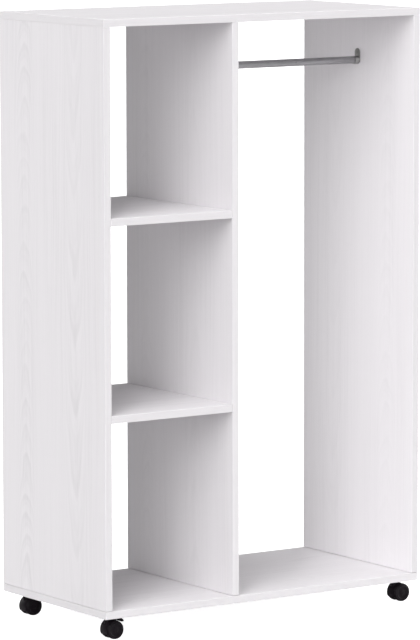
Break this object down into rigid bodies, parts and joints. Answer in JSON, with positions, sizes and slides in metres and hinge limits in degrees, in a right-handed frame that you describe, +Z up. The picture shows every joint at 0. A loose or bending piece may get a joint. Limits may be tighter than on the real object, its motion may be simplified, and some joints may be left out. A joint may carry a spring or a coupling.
{
  "type": "rolling wardrobe",
  "caption": "Open rolling wardrobe: a column of cubbies beside a hanging bay with a lift-out rail, between full-width top and bottom boards, on twin-wheel casters.",
  "frame": {"origin": "on the floor under the middle of the footprint", "axes": "+X to the viewer's right along the width, +Y from the open front to the back, +Z up"},
  "size_m": [0.8, 0.4, 1.28],
  "materials": {
    "board": "white foil with faint wood grain, satin",
    "rail": "plated tube, satin to bright",
    "bracket": "zinc-plated, satin",
    "fastener": "zinc-plated",
    "cam": "die-cast zinc",
    "caster_shell": "moulded, fine texture",
    "caster_wheel": "moulded, satin"
  },
  "bodies": {
    "wardrobe": {"top_panel": "board", "bottom_panel": "board", "left_side_panel": "board", "right_side_panel": "board", "center_divider": "board", "upper_shelf": "board", "lower_shelf": "board", "rail_bracket_left": "bracket", "rail_bracket_right": "bracket", "rail_screw_left_lower": "fastener", "rail_screw_left_upper": "fastener", "rail_screw_right_lower": "fastener", "rail_screw_right_upper": "fastener", "top_screw_left_front": "fastener", "top_screw_left_back": "fastener", "top_screw_center_front": "fastener", "top_screw_center_back": "fastener", "top_screw_right_front": "fastener", "top_screw_right_back": "fastener", "bottom_screw_left_front": "fastener", "bottom_screw_left_back": "fastener", "bottom_screw_center_front": "fastener", "bottom_screw_center_back": "fastener", "bottom_screw_right_front": "fastener", "bottom_screw_right_back": "fastener", "shelf_screw_lower_front": "fastener", "shelf_screw_lower_back": "fastener", "shelf_screw_upper_front": "fastener", "shelf_screw_upper_back": "fastener", "cam_bolt_lower_front": "cam", "cam_bolt_lower_back": "cam", "cam_bolt_upper_front": "cam", "cam_bolt_upper_back": "cam", "cam_lock_lower_front": "cam", "cam_lock_lower_back": "cam", "cam_lock_upper_front": "cam", "cam_lock_upper_back": "cam", "caster_stem_front_left": "fastener", "caster_stem_front_right": "fastener", "caster_stem_back_left": "fastener", "caster_stem_back_right": "fastener"},
    "rail": {"hanging_rail": "rail"},
    "swivel_front_left": {"caster_hood_front_left": "caster_shell", "caster_axle_front_left": "fastener"},
    "wheel_front_left_fore": {"caster_wheel_front_left_fore": "caster_wheel"},
    "wheel_front_left_rear": {"caster_wheel_front_left_rear": "caster_wheel"},
    "brake_front_left": {"brake_lever_front_left": "caster_shell"},
    "swivel_front_right": {"caster_hood_front_right": "caster_shell", "caster_axle_front_right": "fastener"},
    "wheel_front_right_fore": {"caster_wheel_front_right_fore": "caster_wheel"},
    "wheel_front_right_rear": {"caster_wheel_front_right_rear": "caster_wheel"},
    "swivel_back_left": {"caster_hood_back_left": "caster_shell", "caster_axle_back_left": "fastener"},
    "wheel_back_left_fore": {"caster_wheel_back_left_fore": "caster_wheel"},
    "wheel_back_left_rear": {"caster_wheel_back_left_rear": "caster_wheel"},
    "swivel_back_right": {"caster_hood_back_right": "caster_shell", "caster_axle_back_right": "fastener"},
    "wheel_back_right_fore": {"caster_wheel_back_right_fore": "caster_wheel"},
    "wheel_back_right_rear": {"caster_wheel_back_right_rear": "caster_wheel"},
    "brake_back_right": {"brake_lever_back_right": "caster_shell"}
  },
  "joints": [
    {"name": "rail_lift", "type": "slide", "parent": "wardrobe", "child": "rail", "axis": [0, 0, 1], "range_m": [0, 0.06]},
    {"name": "caster_swivel_front_left", "type": "hinge", "parent": "wardrobe", "child": "swivel_front_left", "pos_m": [-0.369, -0.158, 0.036], "axis": [0, 0, 1], "continuous": true},
    {"name": "wheel_spin_front_left_fore", "type": "hinge", "parent": "swivel_front_left", "child": "wheel_front_left_fore", "pos_m": [-0.3583, -0.158, 0.0195], "axis": [0, 1, 0], "continuous": true},
    {"name": "wheel_spin_front_left_rear", "type": "hinge", "parent": "swivel_front_left", "child": "wheel_front_left_rear", "pos_m": [-0.3583, -0.158, 0.0195], "axis": [0, 1, 0], "continuous": true},
    {"name": "brake_press_front_left", "type": "hinge", "parent": "swivel_front_left", "child": "brake_front_left", "pos_m": [-0.3548, -0.158, 0.0411], "axis": [0, 1, 0], "range_deg": [0, 8]},
    {"name": "caster_swivel_front_right", "type": "hinge", "parent": "wardrobe", "child": "swivel_front_right", "pos_m": [0.369, -0.158, 0.036], "axis": [0, 0, 1], "continuous": true},
    {"name": "wheel_spin_front_right_fore", "type": "hinge", "parent": "swivel_front_right", "child": "wheel_front_right_fore", "pos_m": [0.3797, -0.158, 0.0195], "axis": [0, 1, 0], "continuous": true},
    {"name": "wheel_spin_front_right_rear", "type": "hinge", "parent": "swivel_front_right", "child": "wheel_front_right_rear", "pos_m": [0.3797, -0.158, 0.0195], "axis": [0, 1, 0], "continuous": true},
    {"name": "caster_swivel_back_left", "type": "hinge", "parent": "wardrobe", "child": "swivel_back_left", "pos_m": [-0.369, 0.158, 0.036], "axis": [0, 0, 1], "continuous": true},
    {"name": "wheel_spin_back_left_fore", "type": "hinge", "parent": "swivel_back_left", "child": "wheel_back_left_fore", "pos_m": [-0.3583, 0.158, 0.0195], "axis": [0, 1, 0], "continuous": true},
    {"name": "wheel_spin_back_left_rear", "type": "hinge", "parent": "swivel_back_left", "child": "wheel_back_left_rear", "pos_m": [-0.3583, 0.158, 0.0195], "axis": [0, 1, 0], "continuous": true},
    {"name": "caster_swivel_back_right", "type": "hinge", "parent": "wardrobe", "child": "swivel_back_right", "pos_m": [0.369, 0.158, 0.036], "axis": [0, 0, 1], "continuous": true},
    {"name": "wheel_spin_back_right_fore", "type": "hinge", "parent": "swivel_back_right", "child": "wheel_back_right_fore", "pos_m": [0.3583, 0.158, 0.0195], "axis": [0, 1, 0], "continuous": true},
    {"name": "wheel_spin_back_right_rear", "type": "hinge", "parent": "swivel_back_right", "child": "wheel_back_right_rear", "pos_m": [0.3583, 0.158, 0.0195], "axis": [0, 1, 0], "continuous": true},
    {"name": "brake_press_back_right", "type": "hinge", "parent": "swivel_back_right", "child": "brake_back_right", "pos_m": [0.3548, 0.158, 0.0411], "axis": [0, -1, 0], "range_deg": [0, 8]}
  ]
}
